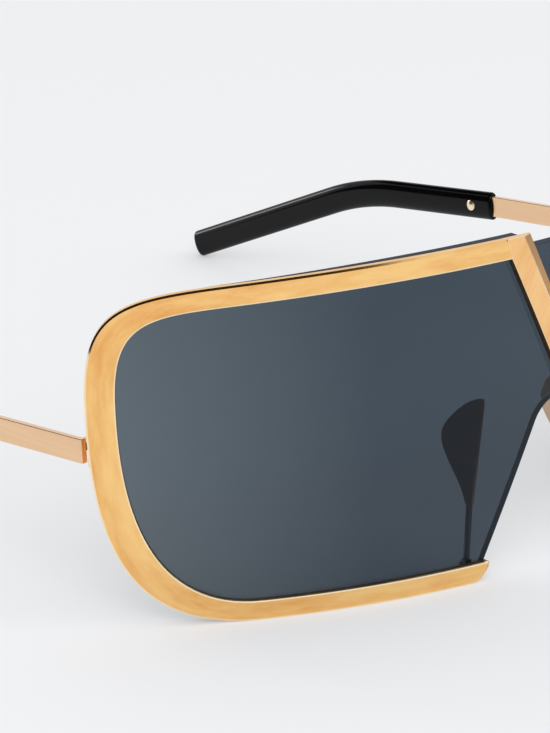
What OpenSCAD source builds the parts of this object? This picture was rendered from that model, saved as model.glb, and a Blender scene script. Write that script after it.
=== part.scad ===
// Mask sunglasses. One wrapped shield lens sits behind two flat rim bands that a chevron
// bridge joins. Leaf-shaped nose pads stand on stems behind the lens, and two temples with
// bent tips fold on three-knuckle hinges.
// X runs across (the wearer's right is -X), -Y is the front and Z is up. The origin is the
// middle of the footprint, on the surface that the rim bottoms and the tip ends rest on.

/* [Wrapped front] */
// Radius of the front face, about an upright axis
face_r = 107.9; // [98:0.1:120]
// Distance along the face from the middle to the rim's outer edge
rim_reach = 81.15; // [78:0.05:82]
// Height of the rim's top edge beside the bridge
rim_top = 52.65; // [50:0.05:56]
// How far the top edge has dropped where the upper corner starts
rim_top_drop = 0.95; // [0.2:0.05:2.5]
// Distance along the face at which the corner curves start
corner_start = 56; // [50:0.5:60]
// Distance along the face at which the outline's walls stand square to it
square_s = 70; // [60:0.5:80]
// Height at which the rim is widest
side_mid = 35; // [32:0.5:38]
// Pull of the outer corner curves: along the top, up the side, down the side, along the bottom
outer_corner_shares = [0.75, 0.89, 0.71, 0.73];
// Pull of the inner corner curves, in the same order
inner_corner_shares = [0.735, 0.943, 0.615, 0.73];
// Straight pieces in each corner curve
corner_steps = 18; // [8:1:24]
// Straight pieces along the top edge
top_steps = 8; // [4:1:12]

/* [Rim bands] */
// Thickness of the rim bands and the bridge
rim_t = 1.25; // [0.9:0.05:1.6]
// Width of the band along the top
band_top = 3.2; // [2.4:0.05:4]
// Width of the band at the side
band_side = 4.55; // [3.4:0.05:5.5]
// Width of the band along the bottom
band_bottom = 3.1; // [2.95:0.05:4]
// Distance from the middle to the end of the bottom band
terminal_x = 18.8; // [17:0.1:21]
// Radius of the lower corner at that end
terminal_r = 2.9; // [1.5:0.1:2.9]

/* [Chevron bridge] */
// Distance from the middle to the arm's outer edge at its foot, on the nose cut-out
arm_foot_x = 3.13; // [2.6:0.05:3.9]
// Distance from the middle to the arm's outer edge, at the underside of the top band
arm_root_x = 14; // [13.5:0.1:15.5]
// Step out of the mitre joint, from the underside to the top edge
mitre_step = 0.9; // [0:0.1:1.5]
// Width of the arm's flat face
arm_face_w = 3.39; // [2.8:0.05:3.8]
// Width of the bevel along the arm's inner side
arm_bevel_w = 1.65; // [1:0.05:2]
// Depth that the bevel falls away over its width
arm_bevel_depth = 0.87; // [0.5:0.01:1.05]

/* [Shield lens] */
// Thickness of the lens
lens_t = 1.9; // [1.6:0.05:2.4]
// Step from the rim's edge in to the lens's edge at the side and bottom
lens_inset = 0.45; // [0.3:0.05:1]
// Step from the rim's top edge down to the lens's top edge beside the bridge
lens_top_inset = 0.1; // [0.05:0.05:0.5]
// Step from the rim's top edge down to the lens's top edge between the bridge arms
notch_drop = 2.25; // [1:0.05:2.8]
// Half width of the nose cut-out, at the height of the rest surface
nose_foot = 20.4; // [20:0.1:23]
// Lean of the nose cut-out's flanks from upright, in degrees
flank_lean = 27; // [24:0.5:29]
// Height of the nose cut-out's top
arch_top = 26.2; // [25:0.1:28]
// Radius of the nose cut-out's upper corners
arch_r = 6; // [4:0.1:7.5]
// Straight pieces in each of those corners
arch_steps = 10; // [6:1:16]

/* [Lens screws] */
// Radius of the screw shafts
screw_r = 0.5; // [0.4:0.05:0.6]
// Clearance round a shaft, in the lens and the rim
screw_gap = 0.06; // [0.03:0.01:0.1]
// Depth that a screw enters the rim
screw_bite = 0.75; // [0.5:0.05:0.8]
// Radius of the screw heads
head_r = 0.95; // [0.85:0.05:1.1]
// Height of the screw heads
head_h = 0.5; // [0.4:0.05:0.7]
// Distances along the face to the two screws in the top band
top_screw_s = [23, 60];
// Distance along the face to the screw in the bottom band
low_screw_s = 47; // [36:0.5:54]

/* [Nose pads] */
// Depth of the pad leaf, from its front edge to its bulge
pad_w = 6.45; // [5.5:0.05:8]
// Height of the leaf above its base line
pad_h = 12.6; // [11:0.1:14]
// Height of the bulge above the base line
pad_bulge = 6.4; // [5:0.1:8]
// Length of the neck below the base line
pad_neck = 3.9; // [3:0.1:5]
// Width of the neck's foot
pad_neck_w = 1.05; // [1.05:0.05:1.6]
// Thickness of the leaf
pad_t = 0.8; // [0.6:0.05:1.1]
// Place of the leaf's front edge at its base line, from the middle, the face and the rest surface
pad_base = [11.02, 12.55, 11.7];
// Inward lean of the leaf, in degrees
pad_lean = 14; // [8:0.5:18]
// Turn of the leaf about upright, open to the back, in degrees
pad_turn = 15.4; // [8:0.1:20]
// Radius of the stem
stem_r = 0.5; // [0.4:0.05:0.55]
// Radius of the foot at the lens
foot_r = 1; // [0.9:0.05:1.2]
// Thickness of the foot
foot_t = 1.2; // [1.1:0.05:1.5]
// Distance along the face from the middle to the foot
foot_s = 20.9; // [20.7:0.1:23]

/* [Hinges] */
// Step from the rim's outer edge in to the hinge, along the face
hinge_inset = 1.75; // [1.6:0.05:2.2]
// Radius of the knuckles
knuckle_r = 1.5; // [1.4:0.05:1.7]
// Height of each of the three knuckles
knuckle_h = 1.25; // [1.1:0.05:1.4]
// Gap between one knuckle and the next
knuckle_gap = 0.06; // [0.04:0.01:0.1]
// Gap from the knuckles to the end piece
swing_gap = 0.35; // [0.32:0.01:0.5]
// Radius of the hinge screw
pin_r = 0.6; // [0.5:0.05:0.7]
// Running clearance round the hinge screw
pin_gap = 0.04; // [0.02:0.01:0.08]
// Radius of the hinge screw's head
pin_head_r = 1.1; // [1:0.05:1.2]
// Height of the hinge screw's head
pin_head_h = 0.45; // [0.35:0.05:0.6]
// Depth of the end piece behind the rim
end_t = 2.2; // [2:0.05:2.6]
// Width of the end piece
end_w = 3; // [2.8:0.05:3.1]
// Height of the end piece
end_h = 4.8; // [4.4:0.1:5.4]
// Clearance round the end piece in the lens's side notch
end_gap = 0.15; // [0.1:0.01:0.3]
// Thickness of the temple's hinge leaf
leaf_t = 0.8; // [0.6:0.05:1]
// Length of the temple's hinge leaf
leaf_l = 9; // [7:0.1:12]
// Height of the temple's hinge leaf
leaf_h = 2.6; // [2:0.1:3.2]

/* [Temples] */
// Step from the rim's outermost edge in to the strip's outer face
strip_inset = 0.2; // [0:0.02:0.5]
// Thickness of the temple strip
strip_t = 1; // [0.9:0.05:1.3]
// Height of the temple strip
strip_h = 3.7; // [3.4:0.05:4.2]
// Downward slope of the strip, in degrees
strip_slope = 3; // [2:0.05:4]
// Toe-in of the temple, in degrees
toe_in = 0.5; // [0:0.1:1.5]
// Gap between the strip's front end and the rim, which is the open stop
stop_gap = 0.2; // [0.15:0.01:0.4]
// Chamfer at the strip's outer front edge
strip_bevel = 0.45; // [0.3:0.05:0.6]
// Distance from the hinge to the start of the tip, along the strip
tip_start = 57.4; // [52:0.1:64]
// Height of the strip's core inside the tip
core_h = 2.6; // [2:0.1:3]
// Length of the strip's core inside the tip
core_l = 21; // [12:0.5:23]
// Clearance round the core
core_gap = 0.08; // [0.05:0.01:0.12]

/* [Tips] */
// Height of the tip
tip_h = 5.1; // [4.2:0.05:5.4]
// Thickness of the tip
tip_t = 2.5; // [2.4:0.05:3.4]
// Radius of the tip's long edges
tip_edge_r = 1; // [0.6:0.05:1.15]
// Turn of the tip's first part below the strip's line, in degrees
tip_dip = 2; // [1:0.1:3]
// Length of the tip's first part
tip_first_l = 24.9; // [24:0.1:30]
// Radius of the bend, to the middle of the tip
bend_r = 60; // [45:1:80]
// Turn of the bend, in degrees
bend_turn = 17.2; // [12:0.1:24]
// Growth of the last part over the bend, all round
tip_swell = 0.05; // [0.03:0.01:0.15]
// Run of the last part back into the bend
bend_lap = 0.3; // [0.1:0.05:0.5]
// Length of the tip beyond the bend
tip_last_l = 42; // [36:0.1:50]
// Radius of the corners at the tip's end
tip_corner_r = 1.2; // [0.8:0.05:1.6]
// Distance of the rivet from the start of the tip
rivet_at = 4.8; // [4:0.1:8]
// Radius of the rivet's pin
rivet_pin_r = 0.5; // [0.4:0.05:0.6]
// Radius of the rivet's head
rivet_head_r = 0.95; // [0.8:0.05:1.2]
// Height of the rivet's head
rivet_head_h = 0.3; // [0.2:0.05:0.5]

/* [Hidden] */

gold = "#E7B36C";
rose_gold = "#E6C09A";
smoke = "#4A5761";
jet = "#111214";
side_right = 1;
side_left = 0;
round_fn = 48;
face_fn = 360;

// The front in depth: the rim, then the lens, then the end piece, each on the one before it
lens_front_r = face_r - rim_t;
lens_back_r = lens_front_r - lens_t;
end_back_r = lens_front_r - end_t;

// A distance along the face as a turn about the wrap axis, and as a distance across the view
// that is square to the face at another one
function turn_of(s) = s / face_r * 180 / PI;
function chord(s, seen_at = 0) = face_r * sin(turn_of(s - seen_at));
rim_x = chord(rim_reach);
front_depth = face_r - sqrt(pow(lens_back_r, 2) - pow(chord(rim_reach - lens_inset), 2));

// The hinge stands behind the rim band, clear of the end piece
hinge_turn = turn_of(rim_reach - hinge_inset);
hinge_axis_r = end_back_r - swing_gap - knuckle_r;
hinge_x = hinge_axis_r * sin(hinge_turn);
hinge_y = face_r - hinge_axis_r * cos(hinge_turn);
knuckle_all = 3 * knuckle_h + 2 * knuckle_gap;

// The strip lies outside the hinge, and its front end stops behind the rim's outer edge
strip_in = rim_x - strip_inset - strip_t - hinge_x;
rim_back_turn = turn_of(square_s) + asin(chord(rim_reach, square_s) / lens_front_r);
rim_back_y = face_r - lens_front_r * cos(rim_back_turn);
strip_nose = hinge_y - rim_back_y - stop_gap;

// The hinge height is what sets the tip's end corner down on the rest surface
slope_first = strip_slope + tip_dip;
slope_last = slope_first + bend_turn;
last_h = tip_h + 2 * tip_swell;
half_web = last_h / 2 - tip_corner_r;
tip_run = tip_start * cos(strip_slope) + tip_first_l * cos(slope_first)
    + bend_r * (sin(slope_last) - sin(slope_first)) + tip_last_l * cos(slope_last);
tip_drop = tip_start * sin(strip_slope) + tip_first_l * sin(slope_first)
    + bend_r * (cos(slope_first) - cos(slope_last)) + tip_last_l * sin(slope_last);
hinge_z = tip_drop + tip_corner_r + half_web * cos(slope_last)
    - tip_corner_r * sin(slope_last);
depth = hinge_y + tip_run - tip_corner_r * cos(slope_last) + half_web * sin(slope_last)
    + tip_corner_r;

// The lens's top edge between the arms
notch_z = rim_top - notch_drop;

// The bridge arm's edges, as heights and half widths
rim_under = rim_top - band_top;
arm_lean = atan((arm_root_x - arm_foot_x) / (rim_under - arch_top));
arm_run = tan(arm_lean);
function arm_outer(z) = arm_root_x - (rim_under - z) * arm_run;
arm_across = (arm_face_w + arm_bevel_w) / cos(arm_lean);
function arm_inner(z) = arm_outer(z) - arm_across;
function arm_ridge(z) = arm_outer(z) - arm_face_w / cos(arm_lean);
mitre_x = arm_root_x + mitre_step;
ridge_foot_z = rim_under - (arm_root_x - arm_face_w / cos(arm_lean)) / arm_run;
crotch_z = rim_under - (arm_root_x - arm_across) / arm_run;
ridge_top_x = arm_ridge(rim_top);
ridge_top_y = face_r - sqrt(pow(face_r, 2) - pow(ridge_top_x, 2));
arm_tilt = atan(ridge_top_y / (rim_top - ridge_foot_z));
bevel_slope = atan(arm_bevel_depth / arm_bevel_w);

// The nose cut-out's upper corner circles touch its flanks and its top
arch_z = arch_top - arch_r;
flank_touch_z = arch_z + arch_r * sin(flank_lean);
flank_touch_x = nose_foot - flank_touch_z * tan(flank_lean);
arch_x = flank_touch_x - arch_r * cos(flank_lean);

// A cubic curve in n straight pieces, without its last point
function curve(p, q, r, s, n) = [for (i = [0:n - 1]) let (t = i / n)
    pow(1 - t, 3) * p + 3 * pow(1 - t, 2) * t * q + 3 * (1 - t) * t * t * r + t * t * t * s];

// Half of an outline along the face: the top edge, the two corners and the bottom
function half_outline(from, top, drop, reach, bottom, pull) =
    let (run = corner_start - from, low_top = top - drop, fall = 2 * drop / run,
         out = reach - corner_start)
    concat(
        [for (i = [0:top_steps - 1]) let (t = i / top_steps) [from + run * t, top - drop * t * t]],
        curve([corner_start, low_top],
              [corner_start + pull[0] * out, low_top - fall * pull[0] * out],
              [reach, side_mid + pull[1] * (low_top - side_mid)],
              [reach, side_mid], corner_steps),
        curve([reach, side_mid],
              [reach, side_mid - pull[2] * (side_mid - bottom)],
              [corner_start + pull[3] * out, bottom],
              [corner_start, bottom], corner_steps),
        [[corner_start, bottom]]);
function on_side(path) = [for (p = path) [chord(p[0], square_s), p[1]]];
function reversed(path) = [for (i = [len(path) - 1:-1:0]) path[i]];
function mirrored(path) = [for (p = path) [-p[0], p[1]]];

rim_outer = half_outline(mitre_x, rim_top, rim_top_drop, rim_reach, 0, outer_corner_shares);
rim_inner = half_outline(arm_root_x, rim_under, rim_top_drop, rim_reach - band_side,
    band_bottom, inner_corner_shares);
lens_top = rim_top - lens_top_inset;
lens_edge = half_outline(mitre_x, lens_top, rim_top_drop + lens_inset - lens_top_inset,
    rim_reach - lens_inset, lens_inset, outer_corner_shares);

// The band runs on to the middle here, and its ends are cut in the front view
rim_walls = on_side(concat([[0, rim_top]], rim_outer, [[0, 0], [0, band_bottom]],
    reversed(rim_inner), [[0, rim_under]]));
terminal_arc = [for (a = [0:15:90])
    [terminal_x + terminal_r * (1 - cos(a)), terminal_r * (1 - sin(a))]];
rim_ends = concat([[arm_root_x + 2 * mitre_step, rim_under + 2 * band_top],
    [arm_root_x, rim_under], [terminal_x, side_mid]], terminal_arc,
    [[terminal_x + terminal_r, -rim_t], [2 * rim_x, -rim_t], [2 * rim_x, 2 * rim_top]]);
// Each half of the lens runs on past the middle, into the other
lens_walls = on_side(concat([[-arm_foot_x, lens_top]], lens_edge, [[-arm_foot_x, lens_inset]]));

// Everything is drawn from the front face and then moved to the middle of the footprint
module placed() {
    translate([0, -depth / 2, 0]) children();
}

// An outline in the front view, carried straight back through the whole front
module front_prism(margin = rim_t) {
    translate([0, front_depth + margin, 0])
        rotate([90, 0, 0]) linear_extrude(height = front_depth + 2 * margin) children();
}

// The space inside the upright cylinder of radius r about the wrap axis
module inside(r) {
    translate([0, face_r, -rim_top]) cylinder(r = r, h = 3 * rim_top, $fn = face_fn);
}

// The frame of the front's middle, turned round the wrap axis
module at_turn(turn) {
    translate([0, face_r, 0]) rotate([0, 0, turn]) translate([0, -face_r, 0]) children();
}

// An outline seen square to the face at square_s, carried back through the side
module side_prism() {
    at_turn(turn_of(square_s)) front_prism() children();
}

module shell(outer_r, inner_r) {
    difference() {
        intersection() {
            children();
            inside(outer_r);
        }
        inside(inner_r);
    }
}

// A cylinder that stands on the wrapped face at s, z and runs back from radius r by length l
module radial_rod(s, z, r, l, rod_r) {
    at_turn(turn_of(s)) translate([0, face_r - r, z]) rotate([-90, 0, 0])
        cylinder(r = rod_r, h = l, $fn = round_fn);
}

// The places of the lens screws on one side, and of the pad screw
screw_places = [for (s = top_screw_s) [s, band_z(s)]];
function top_edge(s) = rim_top - rim_top_drop
    * pow(max(s - mitre_x, 0) / (corner_start - mitre_x), 2);
function band_z(s) = top_edge(s) - band_top / 2;
lens_screw_places = concat(screw_places, [[low_screw_s, band_bottom / 2]]);
foot_z = lens_inset + foot_r;

module screw_holes(places, back_r) {
    for (k = [side_left, side_right]) mirror([k, 0, 0])
        for (p = places)
            radial_rod(p[0], p[1], lens_front_r + screw_bite + screw_gap,
                lens_front_r + screw_bite + screw_gap - back_r, screw_r + screw_gap);
}

module screws(places, seat_r) {
    for (k = [side_left, side_right]) mirror([k, 0, 0])
        for (p = places) difference() {
            union() {
                radial_rod(p[0], p[1], lens_front_r + screw_bite,
                    lens_front_r + screw_bite - seat_r + head_h / 4, screw_r);
                intersection() {
                    radial_rod(p[0], p[1], seat_r + head_h, 2 * head_h, head_r);
                    inside(seat_r);
                }
            }
            // driver slot
            at_turn(turn_of(p[0]))
                translate([-head_r, face_r - seat_r + head_h / 2, p[1] - head_h / 4])
                    cube([2 * head_r, head_h, head_h / 2]);
        }
}

module rim_band() {
    color(gold) difference() {
        shell(face_r, lens_front_r) intersection() {
            side_prism() polygon(rim_walls);
            front_prism() polygon(rim_ends);
        }
        screw_holes(concat(lens_screw_places, [[foot_s, foot_z]]), lens_back_r);
    }
}

module rim_right() {
    placed() mirror([side_right, 0, 0]) rim_band();
}

module rim_left() {
    placed() mirror([side_left, 0, 0]) rim_band();
}

// Everything in front of the plane of one arm's bevel
module bevel_cut() {
    side_l = 2 * rim_top;
    intersection() {
        translate([0, 0, ridge_foot_z]) rotate([-arm_tilt, -arm_lean, 0])
            translate([0, 0, -side_l / 2]) linear_extrude(height = side_l)
                polygon([
                    [-arm_face_w, -arm_face_w * tan(bevel_slope)],
                    [side_l, side_l * tan(bevel_slope)],
                    [side_l, -arm_face_w],
                    [-arm_face_w, -arm_face_w * 2]]);
        translate([-side_l, -side_l / 2, -side_l / 2]) cube([side_l, side_l, side_l * 2]);
    }
}

module bridge() {
    half = [[mitre_x, rim_top], [arm_root_x, rim_under], [arm_outer(arch_top), arch_top]];
    placed() color(gold) difference() {
        shell(face_r, lens_front_r) front_prism()
            polygon(concat([[0, crotch_z], [arm_inner(rim_top), rim_top]], half,
                reversed(mirrored(half)), [[-arm_inner(rim_top), rim_top]]));
        for (k = [side_left, side_right]) mirror([k, 0, 0]) bevel_cut();
    }
}

module nose_cut() {
    below = rim_top - arch_top;
    corner = [for (i = [0:arch_steps]) let (a = flank_lean + (90 - flank_lean) * i / arch_steps)
        [arch_x + arch_r * cos(a), arch_z + arch_r * sin(a)]];
    half = concat([[nose_foot + below * tan(flank_lean), -below]], corner);
    polygon(concat(half, reversed(mirrored(half))));
}

module shield_lens() {
    half = [[arm_ridge(notch_z), notch_z], [arm_ridge(rim_top), rim_top],
        [2 * rim_x, rim_top], [2 * rim_x, 0]];
    notch_h = end_h / 2 + end_gap;
    placed() color(smoke) difference() {
        shell(lens_front_r, lens_back_r) intersection() {
            union() for (k = [side_left, side_right]) mirror([k, 0, 0])
                side_prism() polygon(lens_walls);
            front_prism() difference() {
                polygon(concat(half, reversed(mirrored(half))));
                nose_cut();
            }
        }
        // notches for the end pieces
        for (k = [side_left, side_right]) mirror([k, 0, 0]) at_turn(hinge_turn)
            translate([-end_w / 2 - end_gap, 0, hinge_z - notch_h])
                cube([3 * end_w, 2 * (rim_t + lens_t), 2 * notch_h]);
        screw_holes(concat(lens_screw_places, [[foot_s, foot_z]]), lens_back_r - head_h);
    }
}

module lens_screws() {
    placed() color(gold) screws(lens_screw_places, lens_back_r);
}

module pad_screws() {
    placed() color(gold) screws([[foot_s, foot_z]], lens_back_r - foot_t);
}

// The leaf in its own plane, from its front edge back and from its base line up
pad_corner = pad_w / 6;
leaf_outline = concat(
    [[0, -pad_neck]],
    curve([0, pad_h - pad_corner], [0, pad_h], [pad_corner / 3, pad_h],
        [pad_corner, pad_h - pad_corner / 6], corner_steps / 3),
    curve([pad_corner, pad_h - pad_corner / 6], [pad_w * 0.55, pad_h - pad_corner / 3],
        [pad_w, pad_h * 0.75], [pad_w, pad_bulge], corner_steps),
    curve([pad_w, pad_bulge], [pad_w, pad_bulge / 2], [pad_w / 3, -pad_neck * 0.05],
        [pad_neck_w, -pad_neck], corner_steps),
    [[pad_neck_w, -pad_neck]]);

// A straight rod of radius r between two points, with round ends
module rod(a, b, r) {
    d = b - a;
    translate(a) rotate([0, acos(d[2] / norm(d)), atan2(d[1], d[0])])
        cylinder(r = r, h = norm(d), $fn = round_fn);
    for (p = [a, b]) translate(p) sphere(r = r, $fn = round_fn);
}

// The pad is drawn on the wearer's right and mirrored
module nose_pad() {
    foot_a = turn_of(foot_s);
    foot_at_r = lens_back_r - foot_t / 2;
    // the stem starts clear of the screw's head, on a tab
    stem_up = head_r + screw_gap + stem_r;
    stem_foot = [-foot_at_r * sin(foot_a), face_r - foot_at_r * cos(foot_a), foot_z + stem_up];
    // the neck's foot, in the leaf's plane and then in the frame
    neck_y = pad_neck_w / 2;
    neck_z = -pad_neck + stem_r;
    lean_x = neck_z * sin(pad_lean);
    neck = [-pad_base[0] + lean_x * cos(pad_turn) - neck_y * sin(pad_turn),
        pad_base[1] + lean_x * sin(pad_turn) + neck_y * cos(pad_turn),
        pad_base[2] + neck_z * cos(pad_lean)];
    color(gold) difference() {
        union() {
            translate([-pad_base[0], pad_base[1], pad_base[2]]) rotate([0, pad_lean, pad_turn])
                translate([-pad_t / 2, 0, 0]) rotate([90, 0, 90])
                    linear_extrude(height = pad_t) polygon(leaf_outline);
            rod(stem_foot, neck, stem_r);
            mirror([1, 0, 0]) shell(lens_back_r, lens_back_r - foot_t) union() {
                radial_rod(foot_s, foot_z, lens_back_r + foot_t, 3 * foot_t, foot_r);
                at_turn(foot_a) translate([-stem_r, face_r - lens_back_r - foot_t, foot_z])
                    cube([2 * stem_r, 3 * foot_t, stem_up]);
            }
        }
        mirror([1, 0, 0]) radial_rod(foot_s, foot_z, lens_back_r + foot_t, 3 * foot_t,
            screw_r + screw_gap);
    }
}

module nose_pad_right() {
    placed() nose_pad();
}

module nose_pad_left() {
    placed() mirror([1, 0, 0]) nose_pad();
}

// The frame of the left hinge: its axis upright in the temple's slope
module at_hinge() {
    translate([hinge_x, hinge_y, hinge_z]) rotate([-strip_slope, 0, 0]) children();
}

// The frame of the temple: the same axis, turned by the toe-in
module at_temple() {
    at_hinge() rotate([0, 0, toe_in]) children();
}

// Knuckle number i of the three, counted from the bottom
module knuckle(i) {
    translate([0, 0, i * (knuckle_h + knuckle_gap) - knuckle_all / 2])
        cylinder(r = knuckle_r, h = knuckle_h, $fn = round_fn);
}

module pin_bore() {
    translate([0, 0, -knuckle_all])
        cylinder(r = pin_r + pin_gap, h = 2 * knuckle_all, $fn = round_fn);
}

// The lug behind the rim, with the upper and the lower knuckle
module end_piece() {
    web_l = knuckle_r + swing_gap + end_t / 2;
    color(gold) difference() {
        union() {
            shell(lens_front_r, end_back_r) at_turn(hinge_turn)
                translate([-end_w / 2, 0, hinge_z - end_h / 2]) cube([end_w, 3 * end_t, end_h]);
            at_hinge() rotate([0, 0, hinge_turn]) for (i = [0, 2]) {
                knuckle(i);
                translate([-knuckle_r, -web_l, i * (knuckle_h + knuckle_gap) - knuckle_all / 2])
                    cube([2 * knuckle_r, web_l, knuckle_h]);
            }
        }
        at_hinge() pin_bore();
    }
}

module hinge_screw() {
    color(gold) at_hinge() difference() {
        union() {
            translate([0, 0, -knuckle_all / 2])
                cylinder(r = pin_r, h = knuckle_all, $fn = round_fn);
            translate([0, 0, knuckle_all / 2])
                cylinder(r = pin_head_r, h = pin_head_h, $fn = round_fn);
        }
        // driver slot
        translate([-pin_head_r, -pin_head_h / 4, knuckle_all / 2 + pin_head_h / 2])
            cube([2 * pin_head_r, pin_head_h / 2, pin_head_h]);
    }
}

// The middle knuckle with the leaf that lies on the strip's inner face
module temple_hinge() {
    leaf_x = strip_in - leaf_t;
    leaf_y = knuckle_r + swing_gap;
    color(gold) at_temple() difference() {
        union() {
            knuckle(1);
            translate([0, 0, -knuckle_h / 2])
                cube([strip_in, leaf_y + leaf_t, knuckle_h]);
            translate([leaf_x, leaf_y, -leaf_h / 2]) cube([leaf_t, leaf_l, leaf_h]);
        }
        pin_bore();
    }
}

// The frame of the tip's first part, on the strip's centre line
module at_tip() {
    translate([strip_in + strip_t / 2, tip_start, 0])
        rotate([-tip_dip, 0, 0]) children();
}

module temple_strip() {
    pin_hole = rivet_pin_r + core_gap / 2;
    color(rose_gold) at_temple() difference() {
        union() {
            translate([strip_in, -strip_nose, -strip_h / 2])
                cube([strip_t, strip_nose + tip_start, strip_h]);
            at_tip() translate([-strip_t / 2, -strip_t, -core_h / 2])
                cube([strip_t, core_l + strip_t, core_h]);
        }
        // chamfer down the outer edge of the front end
        translate([strip_in + strip_t, -strip_nose, -strip_h])
            rotate([0, 0, 45]) translate([-strip_bevel, -strip_bevel, 0] / sqrt(2))
                cube([strip_bevel * sqrt(2), strip_bevel * sqrt(2), 2 * strip_h]);
        at_tip() translate([-strip_t, rivet_at, 0]) rotate([0, 90, 0])
            cylinder(r = pin_hole, h = 2 * strip_t, $fn = round_fn);
    }
}

// The tip's cross-section, grown by g all round: x across and y up
module tip_section(g = 0) {
    a = tip_t / 2 + g - tip_edge_r;
    b = tip_h / 2 + g - tip_edge_r;
    square([2 * a, tip_h + 2 * g], center = true);
    square([tip_t + 2 * g, 2 * b], center = true);
    for (x = [-a, a], y = [-b, b]) translate([x, y]) circle(r = tip_edge_r, $fn = round_fn);
}

// What the rounding takes off the two corners of the tip's end, seen from the side
module tip_end_corners() {
    c = tip_corner_r;
    for (k = [0, 1]) mirror([0, k]) translate([tip_last_l - c, last_h / 2 - c]) difference() {
        square(2 * c);
        circle(r = c, $fn = round_fn);
    }
}

module temple_tip() {
    color(jet) at_temple() difference() {
        at_tip() {
            // first part, started early and then cut square to the strip
            translate([0, -tip_t, 0]) rotate([-90, 0, 0])
                linear_extrude(height = tip_first_l + tip_t) tip_section();
            translate([0, tip_first_l, 0]) {
                // the bend, about an axis across the tip
                translate([0, 0, -bend_r]) rotate([0, -90, 0])
                    rotate_extrude(angle = bend_turn, $fn = face_fn)
                        translate([bend_r, 0]) rotate(90) tip_section();
                translate([0, 0, -bend_r]) rotate([-bend_turn, 0, 0])
                    translate([0, 0, bend_r]) difference() {
                        translate([0, -bend_lap, 0]) rotate([-90, 0, 0])
                            linear_extrude(height = tip_last_l + bend_lap)
                                tip_section(tip_swell);
                        translate([-tip_t, 0, 0]) rotate([90, 0, 90])
                            linear_extrude(height = 2 * tip_t) tip_end_corners();
                    }
            }
        }
        translate([-tip_h, tip_start - 2 * tip_h, -tip_h])
            cube([3 * tip_h, 2 * tip_h, 2 * tip_h]);
        at_tip() {
            // pocket for the strip's core
            translate([-strip_t / 2 - core_gap, -tip_t, -core_h / 2 - core_gap])
                cube([strip_t + 2 * core_gap, tip_t + core_l + core_gap,
                    core_h + 2 * core_gap]);
            translate([-tip_t, rivet_at, 0]) rotate([0, 90, 0])
                cylinder(r = rivet_pin_r + core_gap / 2, h = tip_t + strip_t, $fn = round_fn);
        }
    }
}

// A rivet with a domed head on the tip's inner face
module tip_rivet() {
    dome_r = (pow(rivet_head_r, 2) + pow(rivet_head_h, 2)) / (2 * rivet_head_h);
    color(gold) at_temple() at_tip() translate([0, rivet_at, 0]) {
        translate([-tip_t / 2, 0, 0]) rotate([0, 90, 0])
            cylinder(r = rivet_pin_r, h = tip_t / 2 + strip_t / 2 + core_gap, $fn = round_fn);
        intersection() {
            translate([dome_r - tip_t / 2 - rivet_head_h, 0, 0])
                sphere(r = dome_r, $fn = round_fn * 2);
            translate([-tip_t / 2 - rivet_head_h, 0, 0]) rotate([0, 90, 0])
                cylinder(r = rivet_head_r, h = rivet_head_h, $fn = round_fn);
        }
    }
}

module end_piece_right() {
    placed() mirror([1, 0, 0]) end_piece();
}

module end_piece_left() {
    placed() end_piece();
}

module hinge_screw_right() {
    placed() mirror([1, 0, 0]) hinge_screw();
}

module hinge_screw_left() {
    placed() hinge_screw();
}

module temple_strip_right() {
    placed() mirror([1, 0, 0]) temple_strip();
}

module temple_strip_left() {
    placed() temple_strip();
}

module temple_hinge_right() {
    placed() mirror([1, 0, 0]) temple_hinge();
}

module temple_hinge_left() {
    placed() temple_hinge();
}

module temple_tip_right() {
    placed() mirror([1, 0, 0]) temple_tip();
}

module temple_tip_left() {
    placed() temple_tip();
}

module tip_rivet_right() {
    placed() mirror([1, 0, 0]) tip_rivet();
}

module tip_rivet_left() {
    placed() tip_rivet();
}

rim_right();
rim_left();
bridge();
shield_lens();
lens_screws();
nose_pad_right();
nose_pad_left();
pad_screws();
end_piece_right();
end_piece_left();
hinge_screw_right();
hinge_screw_left();
temple_strip_right();
temple_strip_left();
temple_hinge_right();
temple_hinge_left();
temple_tip_right();
temple_tip_left();
tip_rivet_right();
tip_rivet_left();
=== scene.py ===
"""Looks of a pair of mask sunglasses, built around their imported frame.

The front is one wrapped shield lens behind two flat gold bands that a chevron bridge joins.
Two rose-gold temple strips with bent black tips fold behind it. The object's sizes are in
millimetres, and a mesh is turned to metres once, when it becomes a piece. The studio's places
and sizes are in metres. The bands, the bridge and the lens are made as flat blanks, with x
along the face, y into the metal and z up, and are then bent round the upright wrap axis, as
the real sheet is.
"""

import logging
import math
from dataclasses import dataclass
from enum import Enum
from typing import Callable, Iterable, Sequence

import bmesh
import bpy
from mathutils import Matrix, Vector


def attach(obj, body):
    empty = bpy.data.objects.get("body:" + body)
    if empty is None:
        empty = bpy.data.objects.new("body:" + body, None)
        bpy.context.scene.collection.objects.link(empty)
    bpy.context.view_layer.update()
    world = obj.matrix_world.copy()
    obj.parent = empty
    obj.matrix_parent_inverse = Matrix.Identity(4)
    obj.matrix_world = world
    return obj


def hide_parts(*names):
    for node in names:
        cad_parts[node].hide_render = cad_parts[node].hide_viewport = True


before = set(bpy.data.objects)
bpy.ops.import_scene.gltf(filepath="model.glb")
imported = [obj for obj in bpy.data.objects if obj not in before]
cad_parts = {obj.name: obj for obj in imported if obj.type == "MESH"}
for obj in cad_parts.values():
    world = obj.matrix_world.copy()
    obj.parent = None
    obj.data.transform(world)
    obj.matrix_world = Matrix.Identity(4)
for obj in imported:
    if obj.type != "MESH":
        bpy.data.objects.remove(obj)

log = logging.getLogger("mask_sunglasses")

MM = 0.001
SMOOTH_BELOW = math.radians(12)
PLANE_BELOW = math.radians(0.2)

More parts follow.
